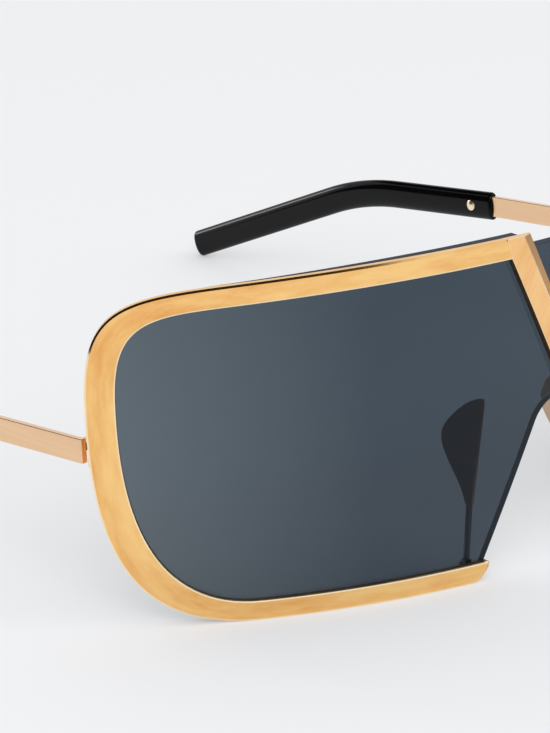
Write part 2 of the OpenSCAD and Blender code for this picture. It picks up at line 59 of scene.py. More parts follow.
# in millimetres: what counts as exactly on, as one vertex, and as on a line
FLAT = 1e-6
MERGE = 1e-4
NEAR = 0.02

# segments of a rounded edge
ROUND = 2

# a front piece's finishes: its face, its edges, and its walls round an opening
FACE, EDGE, WALL = 0, 1, 2

# where most of a noise's values lie
NOISE_SPAN = {"From Min": 0.3, "From Max": 0.7}

# the body that the front's pieces ride on
FRONT = "front"

# the height of the hinges' middle
HINGE_Z = 27.3058

Point = tuple[float, float]
Place = tuple[float, float, float]


class Side(Enum):
    """The wearer's sides. The value is the sign of x."""

    RIGHT = -1
    LEFT = 1

    @property
    def label(self) -> str:
        """The side's name in node and piece names."""
        return self.name.lower()

    @property
    def temple(self) -> str:
        """The body of this side's temple."""
        return f"temple_{self.label}"


class Slot(Enum):
    """Material slots of the record."""

    GOLD = "gold_plate"
    ROSE = "rose_plate"
    LENS = "smoke_lens"
    TIP = "jet_tip"


# Colours and nodes


def linear(hex_colour: str) -> tuple[float, float, float, float]:
    """Turns an sRGB hex colour into the linear one that shaders take.

    Args:
        hex_colour: the colour as "#RRGGBB".

    Returns:
        Red, green, blue and alpha, linear.
    """
    parts = [int(hex_colour[i : i + 2], 16) / 255 for i in (1, 3, 5)]
    lin = [c / 12.92 if c <= 0.04045 else ((c + 0.055) / 1.055) ** 2.4 for c in parts]
    return (lin[0], lin[1], lin[2], 1.0)


def add_node(
    tree: bpy.types.NodeTree, kind: str, inputs: dict | None = None, **settings: object
) -> bpy.types.Node:
    """Adds a node with its settings and links.

    Args:
        tree: the node tree.
        kind: the node's type name, without its ShaderNode prefix.
        inputs: input name or index to a value, or to the output socket that feeds it.
        settings: the node's own properties.

    Returns:
        The new node.
    """
    node = tree.nodes.new("ShaderNode" + kind)
    for key, value in settings.items():
        setattr(node, key, value)
    for key, value in (inputs or {}).items():
        if isinstance(value, bpy.types.NodeSocket):
            tree.links.new(value, node.inputs[key])
        else:
            node.inputs[key].default_value = value
    return node


def new_material(name: str) -> tuple[bpy.types.Material, bpy.types.NodeTree]:
    """Makes an empty node material with its output.

    Args:
        name: the material's name.

    Returns:
        The material and its tree.
    """
    material = bpy.data.materials.new(name)
    material.use_nodes = True
    material.node_tree.nodes.clear()
    return material, material.node_tree


def set_surface(tree: bpy.types.NodeTree, shader: bpy.types.Node) -> None:
    """Links a shader to a new material output."""
    add_node(tree, "OutputMaterial", {"Surface": shader.outputs[0]})


# Finishes


@dataclass(frozen=True)
class Marks:
    """One kind of mark in worked metal, sized against the metal's grain."""

    size: float
    detail: float
    breakup: float
    shift: Place = (0.0, 0.0, 0.0)


@dataclass(frozen=True)
class PlatedBrass:
    """Brass sheet with a galvanic gold layer, buffed by hand on a soft wheel.

    The wheel leaves long, faint streaks and deeper blotches where the layer was worked less,
    and hairline scratches that spread the highlight. The grain is a streak's size along each
    axis in millimetres. A run material follows the piece's UV map, which is in millimetres
    along and across the band.
    """

    name: str
    buffed: str
    deep: str
    roughness: float = 0.17
    roughness_spread: float = 0.08
    grain: Place = (8.0, 1.8, 1.8)
    scratch_depth: float = 0.0012
    runs: bool = False
    streaks: Marks = Marks(1.0, 4.0, 0.62)
    blotches: Marks = Marks(3.0, 3.0, 0.55, (3.1, 7.7, 1.3))
    scratches: Marks = Marks(0.1, 2.0, 0.7)
    worked_span: tuple[float, float] = (0.16, 0.42)
    deep_share: float = 0.65

    def material(self) -> bpy.types.Material:
        """Builds the material.

        Returns:
            The finished node material.
        """
        material, tree = new_material(self.name)
        coord = add_node(tree, "TexCoord")
        source = coord.outputs["UV" if self.runs else "Object"]
        unit = 1.0 if self.runs else 1 / MM
        noises = []
        for marks in (self.streaks, self.blotches, self.scratches):
            laid = add_node(
                tree,
                "Mapping",
                {
                    "Vector": source,
                    "Location": marks.shift,
                    "Scale": tuple(unit / length / marks.size for length in self.grain),
                },
            )
            noise = add_node(
                tree,
                "TexNoise",
                {
                    "Vector": laid.outputs[0],
                    "Scale": 1.0,
                    "Detail": marks.detail,
                    "Roughness": marks.breakup,
                },
            )
            noises.append(noise.outputs["Fac"])
        streaks, blotches, scratches = noises
        worked = add_node(tree, "Math", {0: streaks, 1: blotches}, operation="MULTIPLY")
        share = add_node(
            tree,
            "MapRange",
            {
                "Value": worked.outputs[0],
                "From Min": self.worked_span[0],
                "From Max": self.worked_span[1],
                "To Max": self.deep_share,
            },
        )
        colour = add_node(
            tree,
            "Mix",
            {"Factor": share.outputs[0], "A": linear(self.buffed), "B": linear(self.deep)},
            data_type="RGBA",
        )
        rough = add_node(
            tree,
            "MapRange",
            {
                "Value": streaks,
                **NOISE_SPAN,
                "To Min": self.roughness - self.roughness_spread / 2,
                "To Max": self.roughness + self.roughness_spread / 2,
            },
        )
        bump = add_node(
            tree,
            "Bump",
            {"Height": scratches, "Strength": 0.5, "Distance": self.scratch_depth * MM},
        )
        shader = add_node(
            tree,
            "BsdfPrincipled",
            {
                "Base Color": colour.outputs["Result"],
                "Metallic": 1.0,
                "Roughness": rough.outputs[0],
                "Normal": bump.outputs[0],
            },
        )
        set_surface(tree, shader)
        return material


@dataclass(frozen=True)
class SmokeSheet:
    """Nylon lens sheet, tinted smoke grey in the mass, with a polished hard coat.

    The tint takes most of the light over the sheet's thickness. Towards the ends the tint is
    painted lighter, a painted light, and towards the top it is painted darker, a painted
    shade. A coat against reflections holds the face's own reflection low, which the low
    index stands for, and handling leaves faint smears in the gloss.
    """

    name: str = "tinted_nylon_lens"
    tint: str = "#48545F"
    painted_light_end_tint: str = "#6F7980"
    fade: tuple[float, float] = (36.0, 77.0)
    painted_shade_top_tint: str = "#E4EAED"
    top_fade: tuple[float, float] = (12.0, 46.0)
    roughness: float = 0.015
    smeared_roughness: float = 0.06
    smear: float = 26.0
    smear_span: tuple[float, float] = (0.45, 0.8)
    ior: float = 1.3

    def material(self) -> bpy.types.Material:
        """Builds the material.

        Returns:
            The finished node material.
        """
        material, tree = new_material(self.name)
        coord = add_node(tree, "TexCoord")
        smears = add_node(
            tree,
            "TexNoise",
            {
                "Vector": coord.outputs["Object"],
                "Scale": 1 / (MM * self.smear),
                "Detail": 5.0,
                "Roughness": 0.6,
            },
        )
        rough = add_node(
            tree,
            "MapRange",
            {
                "Value": smears.outputs["Fac"],
                "From Min": self.smear_span[0],
                "From Max": self.smear_span[1],
                "To Min": self.roughness,
                "To Max": self.smeared_roughness,
            },
        )
        # painted light: the tint is painted lighter towards the lens's ends
        place = add_node(tree, "SeparateXYZ", {0: coord.outputs["Object"]})
        off_centre = add_node(tree, "Math", {0: place.outputs["X"]}, operation="ABSOLUTE")
        share = add_node(
            tree,
            "MapRange",
            {
                "Value": off_centre.outputs[0],
                "From Min": self.fade[0] * MM,
                "From Max": self.fade[1] * MM,
            },
        )
        tint = add_node(
            tree,
            "Mix",
            {"Factor": share.outputs[0], "A": linear(self.tint), "B": linear(self.painted_light_end_tint)},
            data_type="RGBA",
        )
        # painted shade: the tint is painted darker towards the top
        rise = add_node(
            tree,
            "MapRange",
            {
                "Value": place.outputs["Z"],
                "From Min": self.top_fade[0] * MM,
                "From Max": self.top_fade[1] * MM,
            },
        )
        deep = add_node(
            tree,
            "Mix",
            {"Factor": rise.outputs[0], "A": tint.outputs["Result"], "B": linear(self.painted_shade_top_tint)},
            data_type="RGBA",
            blend_type="MULTIPLY",
        )
        shader = add_node(
            tree,
            "BsdfPrincipled",
            {
                "Base Color": deep.outputs["Result"],
                "Roughness": rough.outputs[0],
                "IOR": self.ior,
                "Transmission Weight": 1.0,
            },
        )
        set_surface(tree, shader)
        return material


@dataclass(frozen=True)
class CutEdge:
    """The lens sheet's sawn and lightly sanded edge.

    The edge is painted almost black, a painted shade for the light lost along the tinted
    sheet, with a dull sheen and fine saw marks across it. A paler, slate grey edge colour is
    a painted light.
    edge.
    """

    name: str = "sanded_edge_painted_shade"
    # painted shade: the edge's near-black colour
    colour: str = "#2A323D"
    roughness: float = 0.42
    roughness_spread: float = 0.12
    saw: float = 0.35

    def material(self) -> bpy.types.Material:
        """Builds the material.

        Returns:
            The finished node material.
        """
        material, tree = new_material(self.name)
        coord = add_node(tree, "TexCoord")
        marks = add_node(
            tree,
            "TexNoise",
            {"Vector": coord.outputs["Object"], "Scale": 1 / (MM * self.saw), "Detail": 2.0},
        )
        rough = add_node(
            tree,
            "MapRange",
            {
                "Value": marks.outputs["Fac"],
                **NOISE_SPAN,
                "To Min": self.roughness - self.roughness_spread / 2,
                "To Max": self.roughness + self.roughness_spread / 2,
            },
        )
        shader = add_node(
            tree,
            "BsdfPrincipled",
            {
                "Base Color": linear(self.colour),
                "Roughness": rough.outputs[0],
                "IOR": 1.5,
                "Specular IOR Level": 0.04,
            },
        )
        set_surface(tree, shader)
        return material


@dataclass(frozen=True)
class BlackAcetate:
    """Cellulose acetate, cut from sheet and tumbled with polish until it shines.

    Tumbling leaves a slightly wavy gloss, and the black has faint clouds in its depth.
    """

    name: str = "tumbled_black_acetate"
    black: str = "#040405"
    cloud: str = "#070709"
    reflect: float = 0.16
    roughness: float = 0.11
    roughness_spread: float = 0.08
    cloud_size: float = 7.0
    wave: float = 2.6
    wave_depth: float = 0.004

    def material(self) -> bpy.types.Material:
        """Builds the material.

        Returns:
            The finished node material.
        """
        material, tree = new_material(self.name)
        coord = add_node(tree, "TexCoord")
        clouds = add_node(
            tree,
            "TexNoise",
            {
                "Vector": coord.outputs["Object"],
                "Scale": 1 / (MM * self.cloud_size),
                "Detail": 3.0,
            },
        )
        colour = add_node(
            tree,
            "Mix",
            {"Factor": clouds.outputs["Fac"], "A": linear(self.black), "B": linear(self.cloud)},
            data_type="RGBA",
        )
        rough = add_node(
            tree,
            "MapRange",
            {
                "Value": clouds.outputs["Fac"],
                **NOISE_SPAN,
                "To Min": self.roughness - self.roughness_spread / 2,
                "To Max": self.roughness + self.roughness_spread / 2,
            },
        )
        waves = add_node(
            tree,
            "TexNoise",
            {"Vector": coord.outputs["Object"], "Scale": 1 / (MM * self.wave), "Detail": 1.0},
        )
        bump = add_node(
            tree,
            "Bump",
            {
                "Height": waves.outputs["Fac"],
                "Strength": 0.3,
                "Distance": self.wave_depth * MM,
            },
        )
        shader = add_node(
            tree,
            "BsdfPrincipled",
            {
                "Base Color": colour.outputs["Result"],
                "Roughness": rough.outputs[0],
                "IOR": 1.48,
                "Specular IOR Level": self.reflect,
                "Normal": bump.outputs[0],
            },
        )
        set_surface(tree, shader)
        return material


class Finishes:
    """The finishes of this pair, each made once."""

    def __init__(self) -> None:
        """Makes every material."""
        self.band = PlatedBrass("buffed_gold_band", "#FFD189", "#E29241", runs=True).material()
        self.bridge = PlatedBrass(
            "buffed_gold_bridge", "#FFCF92", "#EAA256", runs=True, grain=(9.0, 1.7, 1.7)
        ).material()
        # painted highlight: the bevels are polished and painted a pale cream gold
        self.edge = PlatedBrass(
            "polished_edge_painted_highlight", "#FFEBC6", "#FFDDA8", roughness=0.12, roughness_spread=0.04
        ).material()
        # painted shade: the walls round the openings are painted a darker brown gold
        self.wall = PlatedBrass(
            "gold_wall_painted_shade", "#9C7A55", "#7D5E3F", roughness=0.4
        ).material()
        self.hardware = PlatedBrass(
            "gold_plated_hardware", "#FFD7A0", "#F0BC78", roughness=0.34, grain=(0.7, 0.7, 2.5)
        ).material()
        self.pad = PlatedBrass(
            "gold_plated_pad", "#C9A789", "#B39175", roughness=0.3, grain=(1.5, 2.5, 7.0)
        ).material()
        # painted shade: the pads' faces turned away from the nose are painted grey-blue
        self.pad_back = PlatedBrass(
            "dull_grey_pad_back", "#8290A9", "#738199", roughness=0.35, grain=(1.5, 2.5, 7.0)
        ).material()
        self.rivet = PlatedBrass(
            "gold_plated_rivet", "#FFECD2", "#FFE0B8", roughness=0.3, grain=(0.7, 0.7, 2.5)
        ).material()
        self.strip = PlatedBrass(
            "rose_gold_strip",
            "#F3CDA6",
            "#E6BA90",
            roughness=0.22,
            roughness_spread=0.06,
            grain=(1.2, 45.0, 1.0),
            scratch_depth=0.0005,
        ).material()
        self.lens = SmokeSheet().material()
        self.lens_edge = CutEdge().material()
        # painted light: the nose cut-out's edge is painted a paler slate grey
        self.nose_edge = CutEdge("nose_edge_painted_light", "#76828F").material()
        self.tip = BlackAcetate().material()


# Mesh steps


def cubic(start: Point, leave: Point, arrive: Point, end: Point, steps: int) -> list[Point]:
    """Cuts a cubic curve into straight pieces.

    Args:
        start: the start.
        leave: the point that pulls the curve's first half.
        arrive: the point that pulls its second half.
        end: the end.
        steps: how many pieces.

    Returns:
        The points, without the last.
    """
    points = []
    for i in range(steps):
        t = i / steps
        a, b, c, d = (1 - t) ** 3, 3 * (1 - t) ** 2 * t, 3 * (1 - t) * t * t, t**3
        points.append(
            tuple(a * start[k] + b * leave[k] + c * arrive[k] + d * end[k] for k in (0, 1))
        )
    return points


def distance_along(path: Sequence[Point], at: Point) -> tuple[float, float]:
    """Finds how far along a path a point lies, and how far to its side.

    Args:
        path: the path's points.
        at: the point.

    Returns:
        The run to the nearest place on the path, and the signed distance from it.
    """
    best, found, run = math.inf, (0.0, 0.0), 0.0
    for (ax, ay), (bx, by) in zip(path, path[1:]):
        dx, dy = bx - ax, by - ay
        length = math.hypot(dx, dy)
        if length < FLAT:
            continue
        t = ((at[0] - ax) * dx + (at[1] - ay) * dy) / length**2
        t = min(1.0, max(0.0, t))
        off = math.hypot(at[0] - ax - t * dx, at[1] - ay - t * dy)
        if off < best:
            side = math.copysign(1.0, dx * (at[1] - ay) - dy * (at[0] - ax))
            best, found = off, (run + t * length, side * off)
        run += length
    return found


def chain_sheet(outer: Sequence[Point], inner: Sequence[Point], cuts: int) -> bmesh.types.BMesh:
    """Makes a flat sheet between two paths with as many points.

    Args:
        outer: the first path, as distance along the face and height.
        inner: the second path.
        cuts: cuts along the sheet, between the paths.

    Returns:
        The sheet, with its front at y = 0.
    """
    bm = bmesh.new()
    chain = [bm.verts.new((s, 0, z)) for s, z in outer]
    edges = [bm.edges.new(pair) for pair in zip(chain, chain[1:])]
    bmesh.ops.extrude_edge_only(bm, edges=edges)
    place = {v: i for i, v in enumerate(chain)}
    across = []
    for edge in bm.edges:
        known = [v for v in edge.verts if v in place]
        if len(known) == 1:
            s, z = inner[place[known[0]]]
            edge.other_vert(known[0]).co = (s, 0, z)
            across.append(edge)
    bmesh.ops.subdivide_edges(bm, edges=across, cuts=cuts, use_grid_fill=True)
    return bm


def outline_sheet(outline: Sequence[Point]) -> bmesh.types.BMesh:
    """Makes a flat sheet inside an outline.

    Args:
        outline: the outline, as distance along the face and height.

    Returns:
        The sheet, with its front at y = 0.
    """
    bm = bmesh.new()
    bm.faces.new([bm.verts.new((s, 0, z)) for s, z in outline])
    return bm


def slice_sheet(bm: bmesh.types.BMesh, step: float) -> None:
    """Cuts a blank across at even distances along the face, so that it can be bent.

    Args:
        bm: the blank.
        step: the distance from one cut to the next.
    """
    low = min(v.co.x for v in bm.verts)
    high = max(v.co.x for v in bm.verts)
    count = round((high - low) / step)
    for i in range(1, count):
        at = low + (high - low) * i / count
        bmesh.ops.bisect_plane(
            bm,
            geom=bm.verts[:] + bm.edges[:] + bm.faces[:],
            dist=FLAT,
            plane_co=(at, 0, 0),
            plane_no=(1, 0, 0),
        )


def thicken(bm: bmesh.types.BMesh, back: float) -> None:
    """Gives a flat sheet its thickness, towards +y, and turns its faces outwards.

    Args:
        bm: the sheet. Its front may be sloping.
        back: the y of the whole back.
    """
    made = bmesh.ops.extrude_face_region(bm, geom=bm.faces[:], use_keep_orig=True)["geom"]
    for v in made:
        if isinstance(v, bmesh.types.BMVert):
            v.co.y = back
    bmesh.ops.recalc_face_normals(bm, faces=bm.faces[:])


def run_on(
    bm: bmesh.types.BMesh, end: bmesh.types.BMFace, move: Vector, keep: bool = False
) -> bmesh.types.BMFace:
    """Extrudes an end face by a straight move.

    Args:
        bm: the mesh.
        end: the end face.
        move: the way and the distance.
        keep: whether the face stays, to close the mesh behind.

    Returns:
        The new end face.
    """
    made = bmesh.ops.extrude_face_region(bm, geom=[end], use_keep_orig=keep)["geom"]
    verts = [v for v in made if isinstance(v, bmesh.types.BMVert)]
    bmesh.ops.translate(bm, vec=move, verts=verts)
    return next(f for f in made if isinstance(f, bmesh.types.BMFace))


def sharp_edges(
    bm: bmesh.types.BMesh,
    test: Callable[[Vector, Vector], bool] | None = None,
    degrees: float = 50.0,
) -> list[bmesh.types.BMEdge]:
    """Finds the sharp edges, all of them or those that pass a test.

    Args:
        bm: the mesh.
        test: takes the places of an edge's two ends.
        degrees: the least angle between an edge's faces.

    Returns:
        The edges.
    """
    return [
        e
        for e in bm.edges
        if e.is_manifold
        and math.degrees(e.calc_face_angle(0.0)) > degrees
        and (test is None or test(e.verts[0].co, e.verts[1].co))
    ]


def ease(
    bm: bmesh.types.BMesh,
    edges: Iterable[bmesh.types.BMEdge],
    width: float,
    segments: int = 1,
    index: int | None = None,
) -> None:
    """Bevels edges.

    Args:
        bm: the mesh.
        edges: the edges.
        width: the bevel's leg.
        segments: 1 for a plain bevel, more for a round one.
        index: the new faces' material index, or None to keep the neighbours'.
    """
    made = bmesh.ops.bevel(
        bm,
        geom=list(edges),
        offset=width,
        offset_type="OFFSET",
        affect="EDGES",
        segments=segments,
        profile=0.5,
        material=-1,
    )["faces"]
    if index is not None:
        for face in made:
            face.material_index = index


def keep_below(bm: bmesh.types.BMesh, top: float) -> None:
    """Lowers the vertices that a bevel has put a hair above the sheet's top edge."""
    for v in bm.verts:
        v.co.z = min(v.co.z, top)


def lay_run(bm: bmesh.types.BMesh, path: Sequence[Point]) -> None:
    """Writes a UV map in millimetres, along and across a path on the blank.

    Args:
        bm: the flat blank.
        path: the path, as distance along the face and height.
    """
    layer = bm.loops.layers.uv.new("run")
    known = {}
    for v in bm.verts:
        run, off = distance_along(path, (v.co.x, v.co.z))
        known[v] = (run, off + v.co.y)
    for face in bm.faces:
        for loop in face.loops:
            loop[layer].uv = known[loop.vert]


def new_object(
    bm: bmesh.types.BMesh, name: str, finishes: Sequence[bpy.types.Material]
) -> bpy.types.Object:
    """Puts a mesh in the scene.

    Args:
        bm: the mesh, in metres. It is freed.
        name: the object's name.
        finishes: its finishes, by the faces' material index.

    Returns:
        The object.
    """
    mesh = bpy.data.meshes.new(name)
    bm.to_mesh(mesh)
    bm.free()
    for finish in finishes:
        mesh.materials.append(finish)
    thing = bpy.data.objects.new(name, mesh)
    bpy.context.scene.collection.objects.link(thing)
    return thing


def make_piece(
    bm: bmesh.types.BMesh,
    name: str,
    body: str,
    slot: Slot,
    finishes: Sequence[bpy.types.Material],
    node: str,
) -> None:
    """Turns a mesh in the row frame, in millimetres, into a finished piece.

    Args:
        bm: the mesh. It is freed.
        name: the piece's name.
        body: the CAD body that it moves with.
        slot: the record's material slot; not used.
        finishes: its finishes, by the faces' material index.
        node: the CAD node that it stands for.
    """
    bmesh.ops.scale(bm, vec=(MM, MM, MM), verts=bm.verts)
    piece = new_object(bm, name, finishes)
    piece.data.shade_smooth()
    piece.data.set_sharp_from_angle(angle=SMOOTH_BELOW)
    # large flat faces keep their own normals beside the fine bevels
    steady = piece.modifiers.new("steady_normals", "WEIGHTED_NORMAL")
    steady.keep_sharp = True
    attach(piece, body)
    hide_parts(node)
    log.info("%s: %d faces, on %s", name, len(piece.data.polygons), body)


def node_copy(node: str) -> bmesh.types.BMesh:
    """Copies a CAD node's mesh in millimetres, with its loose triangles merged.

    Args:
        node: the node's name.

    Returns:
        The merged copy, with flat areas made one face each.
    """
    bm = bmesh.new()
    bm.from_mesh(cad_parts[node].data)
    bmesh.ops.scale(bm, vec=(1 / MM,) * 3, verts=bm.verts)
    bmesh.ops.remove_doubles(bm, verts=bm.verts, dist=MERGE)
    bmesh.ops.dissolve_limit(bm, angle_limit=PLANE_BELOW, verts=bm.verts, edges=bm.edges)
    return bm


# The front


@dataclass
class Wrap:
    """The upright cylinder that the front lies on.

    The row frame's origin is half_depth behind the front's foremost line.
    """

    face_r: float = 107.9
    half_depth: float = 85.46
    bend_step: float = 1.6

    def along(self, x: float) -> float:
        """The distance along the face to a place x across the front view."""
        return self.face_r * math.asin(x / self.face_r)

    def bend(self, bm: bmesh.types.BMesh, side: Side | None = None) -> None:
        """Bends a flat blank round the wrap axis and puts it in the row frame.

        Args:
            bm: the blank.
            side: the side to put it on, or None for a blank that spans both.
        """
        sign = side.value if side else 1
        for v in bm.verts:
            angle, r = sign * v.co.x / self.face_r, self.face_r - v.co.y
            v.co.x = r * math.sin(angle)
            v.co.y = self.face_r - r * math.cos(angle) - self.half_depth
        bmesh.ops.recalc_face_normals(bm, faces=bm.faces[:])


@dataclass
class Outline:
    """One side's outline along the face: the top edge, two corners and the bottom."""

    start: float
    top: float
    drop: float
    reach: float
    bottom: float
    pulls: tuple[float, float, float, float]
    corner_start: float = 56.0
    side_mid: float = 35.0
    top_steps: int = 26
    corner_steps: int = 30

    def points(self) -> list[Point]:
        """The outline from its start to the bottom's corner start.

        Returns:
            Distances along the face with heights.
        """
        run, low = self.corner_start - self.start, self.top - self.drop
        fall, out = 2 * self.drop / run, self.reach - self.corner_start
        off_top, onto_side, off_side, onto_bottom = self.pulls
        top = []
        for i in range(self.top_steps):
            share = i / self.top_steps
            top.append((self.start + run * share, self.top - self.drop * share**2))
        upper = cubic(
            (self.corner_start, low),
            (self.corner_start + off_top * out, low - fall * off_top * out),
            (self.reach, self.side_mid + onto_side * (low - self.side_mid)),
            (self.reach, self.side_mid),
            self.corner_steps,
        )
        lower = cubic(
            (self.reach, self.side_mid),
            (self.reach, self.side_mid - off_side * (self.side_mid - self.bottom)),
            (self.corner_start + onto_bottom * out, self.bottom),
            (self.corner_start, self.bottom),
            self.corner_steps,
        )
        return top + upper + lower + [(self.corner_start, self.bottom)]


@dataclass
class FrontMetal:
    """The two rim bands and the chevron bridge."""

    wrap: Wrap
    finishes: Finishes
    rim_t: float = 1.25
    rim_top: float = 52.65
    rim_top_drop: float = 0.95
    rim_reach: float = 81.15
    band_top: float = 3.2
    band_side: float = 4.55
    band_bottom: float = 3.1
    terminal_x: float = 18.8
    terminal_r: float = 2.9
    terminal_steps: int = 10
    bottom_steps: int = 22
    band_cuts: int = 3
    outer_pulls: tuple[float, float, float, float] = (0.75, 0.89, 0.71, 0.73)
    inner_pulls: tuple[float, float, float, float] = (0.735, 0.943, 0.615, 0.73)
    arm_foot_x: float = 3.13
    arm_root_x: float = 14.0
    mitre_step: float = 0.9
    arch_top: float = 26.2
    arm_face_w: float = 3.39
    arm_bevel_w: float = 1.65
    arm_bevel_depth: float = 0.87
    outer_bevel: float = 0.3
    inner_bevel: float = 0.26
    small_bevel: float = 0.06
    ridge_round: float = 0.08
    ridge_angle: float = 5.0
    front_facing: float = -0.5
    top_run_z: float = 49.0

    @property
    def under(self) -> float:
        """The height of the arm's root, under the top band."""
        return self.rim_top - self.band_top

    @property
    def mitre_x(self) -> float:
        """The place across the front of the mitre's upper end."""
        return self.arm_root_x + self.mitre_step

    @property
    def arm_slope(self) -> float:
        """How far the arm runs across the front while it rises by one."""
        return (self.arm_root_x - self.arm_foot_x) / (self.under - self.arch_top)

    def arm_line(self, z: float, inward: float) -> float:
        """Finds where a line along the arm passes a height.

        Args:
            z: the height.
            inward: how far inside the arm's outer edge the line runs, square to it.

        Returns:
            The place across the front.
        """
        across = inward / math.cos(math.atan(self.arm_slope))
        return self.arm_root_x - (self.under - z) * self.arm_slope - across

    def arm_meeting(self, inward: float) -> float:
        """The height at which such a line meets the other arm's, over the nose."""
        return self.under - self.arm_line(self.under, inward) / self.arm_slope

    def band_paths(self) -> tuple[list[Point], list[Point]]:
        """The band's outer and inner edges, point for point, from the mitre to the nose.

        Returns:
            The outer path and the inner path.
        """
        outer = Outline(
            start=self.wrap.along(self.mitre_x),
            top=self.rim_top,
            drop=self.rim_top_drop,
            reach=self.rim_reach,
            bottom=0.0,
            pulls=self.outer_pulls,
        ).points()
        inner = Outline(
            start=self.wrap.along(self.arm_root_x),
            top=self.under,
            drop=self.rim_top_drop,
            reach=self.rim_reach - self.band_side,
            bottom=self.band_bottom,
            pulls=self.inner_pulls,
        ).points()
        corner, turn = outer[-1][0], self.terminal_x + self.terminal_r
        for i in range(1, self.bottom_steps + 1):
            s = corner + (self.wrap.along(turn) - corner) * i / self.bottom_steps
            outer.append((s, 0.0))
            inner.append((s, self.band_bottom))
        for i in range(1, self.terminal_steps + 1):
            a = math.pi / 2 * i / self.terminal_steps
            s = self.wrap.along(turn - self.terminal_r * math.sin(a))
            outer.append((s, self.terminal_r * (1 - math.cos(a))))
            inner.append((s, self.band_bottom))
        return outer, inner

    def build_band(self, side: Side) -> None:
        """Builds one rim band.

        Args:
            side: the wearer's side.
        """
        outer, inner = self.band_paths()
        bm = chain_sheet(outer, inner, self.band_cuts)
        thicken(bm, self.rim_t)
        middle = [((a[0] + b[0]) / 2, (a[1] + b[1]) / 2) for a, b in zip(outer, inner)]

        def on(path: Sequence[Point], y: float) -> Callable[[Vector, Vector], bool]:
            """A test for edges that lie on a path, at a depth."""
            return lambda a, b: all(
                abs(p.y - y) < FLAT and abs(distance_along(path, (p.x, p.z))[1]) < NEAR
                for p in (a, b)
            )

        # the walls round the opening take the wall finish's painted shade
        for face in bm.faces:
            if all(on(inner, v.co.y)(v.co, v.co) for v in face.verts):
                face.material_index = WALL
        # the bevels take the edge finish's painted highlight
        ease(bm, sharp_edges(bm, on(outer, 0.0)), self.outer_bevel, index=EDGE)
        # the bevel along the top keeps the face's finish
        for face in bm.faces:
            if face.material_index == EDGE and face.calc_center_median().z > self.top_run_z:
                face.material_index = FACE
        ease(bm, sharp_edges(bm, on(inner, 0.0)), self.inner_bevel, ROUND, EDGE)
        ease(bm, sharp_edges(bm, on(outer, self.rim_t)), self.small_bevel)
        ease(bm, sharp_edges(bm, on(inner, self.rim_t)), self.small_bevel)
        keep_below(bm, self.rim_top)
        lay_run(bm, middle)
        self.wrap.bend(bm, side)
        finishes = [self.finishes.band, self.finishes.edge, self.finishes.wall]
        name = f"band_{side.label}"
        make_piece(bm, name, FRONT, Slot.GOLD, finishes, f"rim_{side.label}")

    def build_bridge(self) -> None:
        """Builds the chevron bridge: two arms, each a flat face and a bevel down to the gap."""
        face_w, all_w = self.arm_face_w, self.arm_face_w + self.arm_bevel_w
        bm = bmesh.new()

        def corner(x: float, z: float, y: float = 0.0) -> bmesh.types.BMVert:
            """A vertex of the blank, x across the front view."""
            return bm.verts.new((self.wrap.along(x), y, z))

        foot, low = corner(0, self.arm_meeting(face_w)), corner(0, self.arch_top)
        deep = corner(0, self.arm_meeting(all_w), self.arm_bevel_depth)
        for sign in (1, -1):
            root = corner(sign * self.arm_foot_x, self.arch_top)
            elbow = corner(sign * self.arm_root_x, self.under)
            mitre = corner(sign * self.mitre_x, self.rim_top)
            ridge = corner(sign * self.arm_line(self.rim_top, face_w), self.rim_top)
            inner_x = self.arm_line(self.rim_top, all_w)
            inner = corner(sign * inner_x, self.rim_top, self.arm_bevel_depth)
            bm.faces.new([low, root, elbow, mitre, ridge, foot])
            bm.faces.new([foot, ridge, inner, deep])
        thicken(bm, self.rim_t)
        # the arms' outer walls look into the openings and take the wall finish's painted shade
        for face in bm.faces:
            middle = face.calc_center_median()
            outward = face.normal.x * middle.x
            if abs(face.normal.y) < NEAR and outward > NEAR and middle.z < self.under:
                face.material_index = WALL
        # the ridges and the front's small bevels take the edge finish's painted highlight
        ridges = [
            e
            for e in sharp_edges(bm, degrees=self.ridge_angle)
            if all(f.normal.y < self.front_facing for f in e.link_faces)
        ]
        ease(bm, ridges, self.ridge_round, index=EDGE)
        deepest = self.arm_bevel_depth + NEAR
        front = sharp_edges(bm, lambda a, b: max(a.y, b.y) < deepest)
        ease(bm, front, self.small_bevel, index=EDGE)
        keep_below(bm, self.rim_top)
        slice_sheet(bm, self.wrap.bend_step)
        lay_run(bm, [(0, self.arch_top), (self.wrap.along(self.mitre_x), self.rim_top)])
        self.wrap.bend(bm)
        finishes = [self.finishes.bridge, self.finishes.edge, self.finishes.wall]
        make_piece(bm, "bridge_chevron", FRONT, Slot.GOLD, finishes, "bridge")

    def build(self) -> None:
        """Builds both bands and the bridge."""
        for side in Side:
            self.build_band(side)
        self.build_bridge()


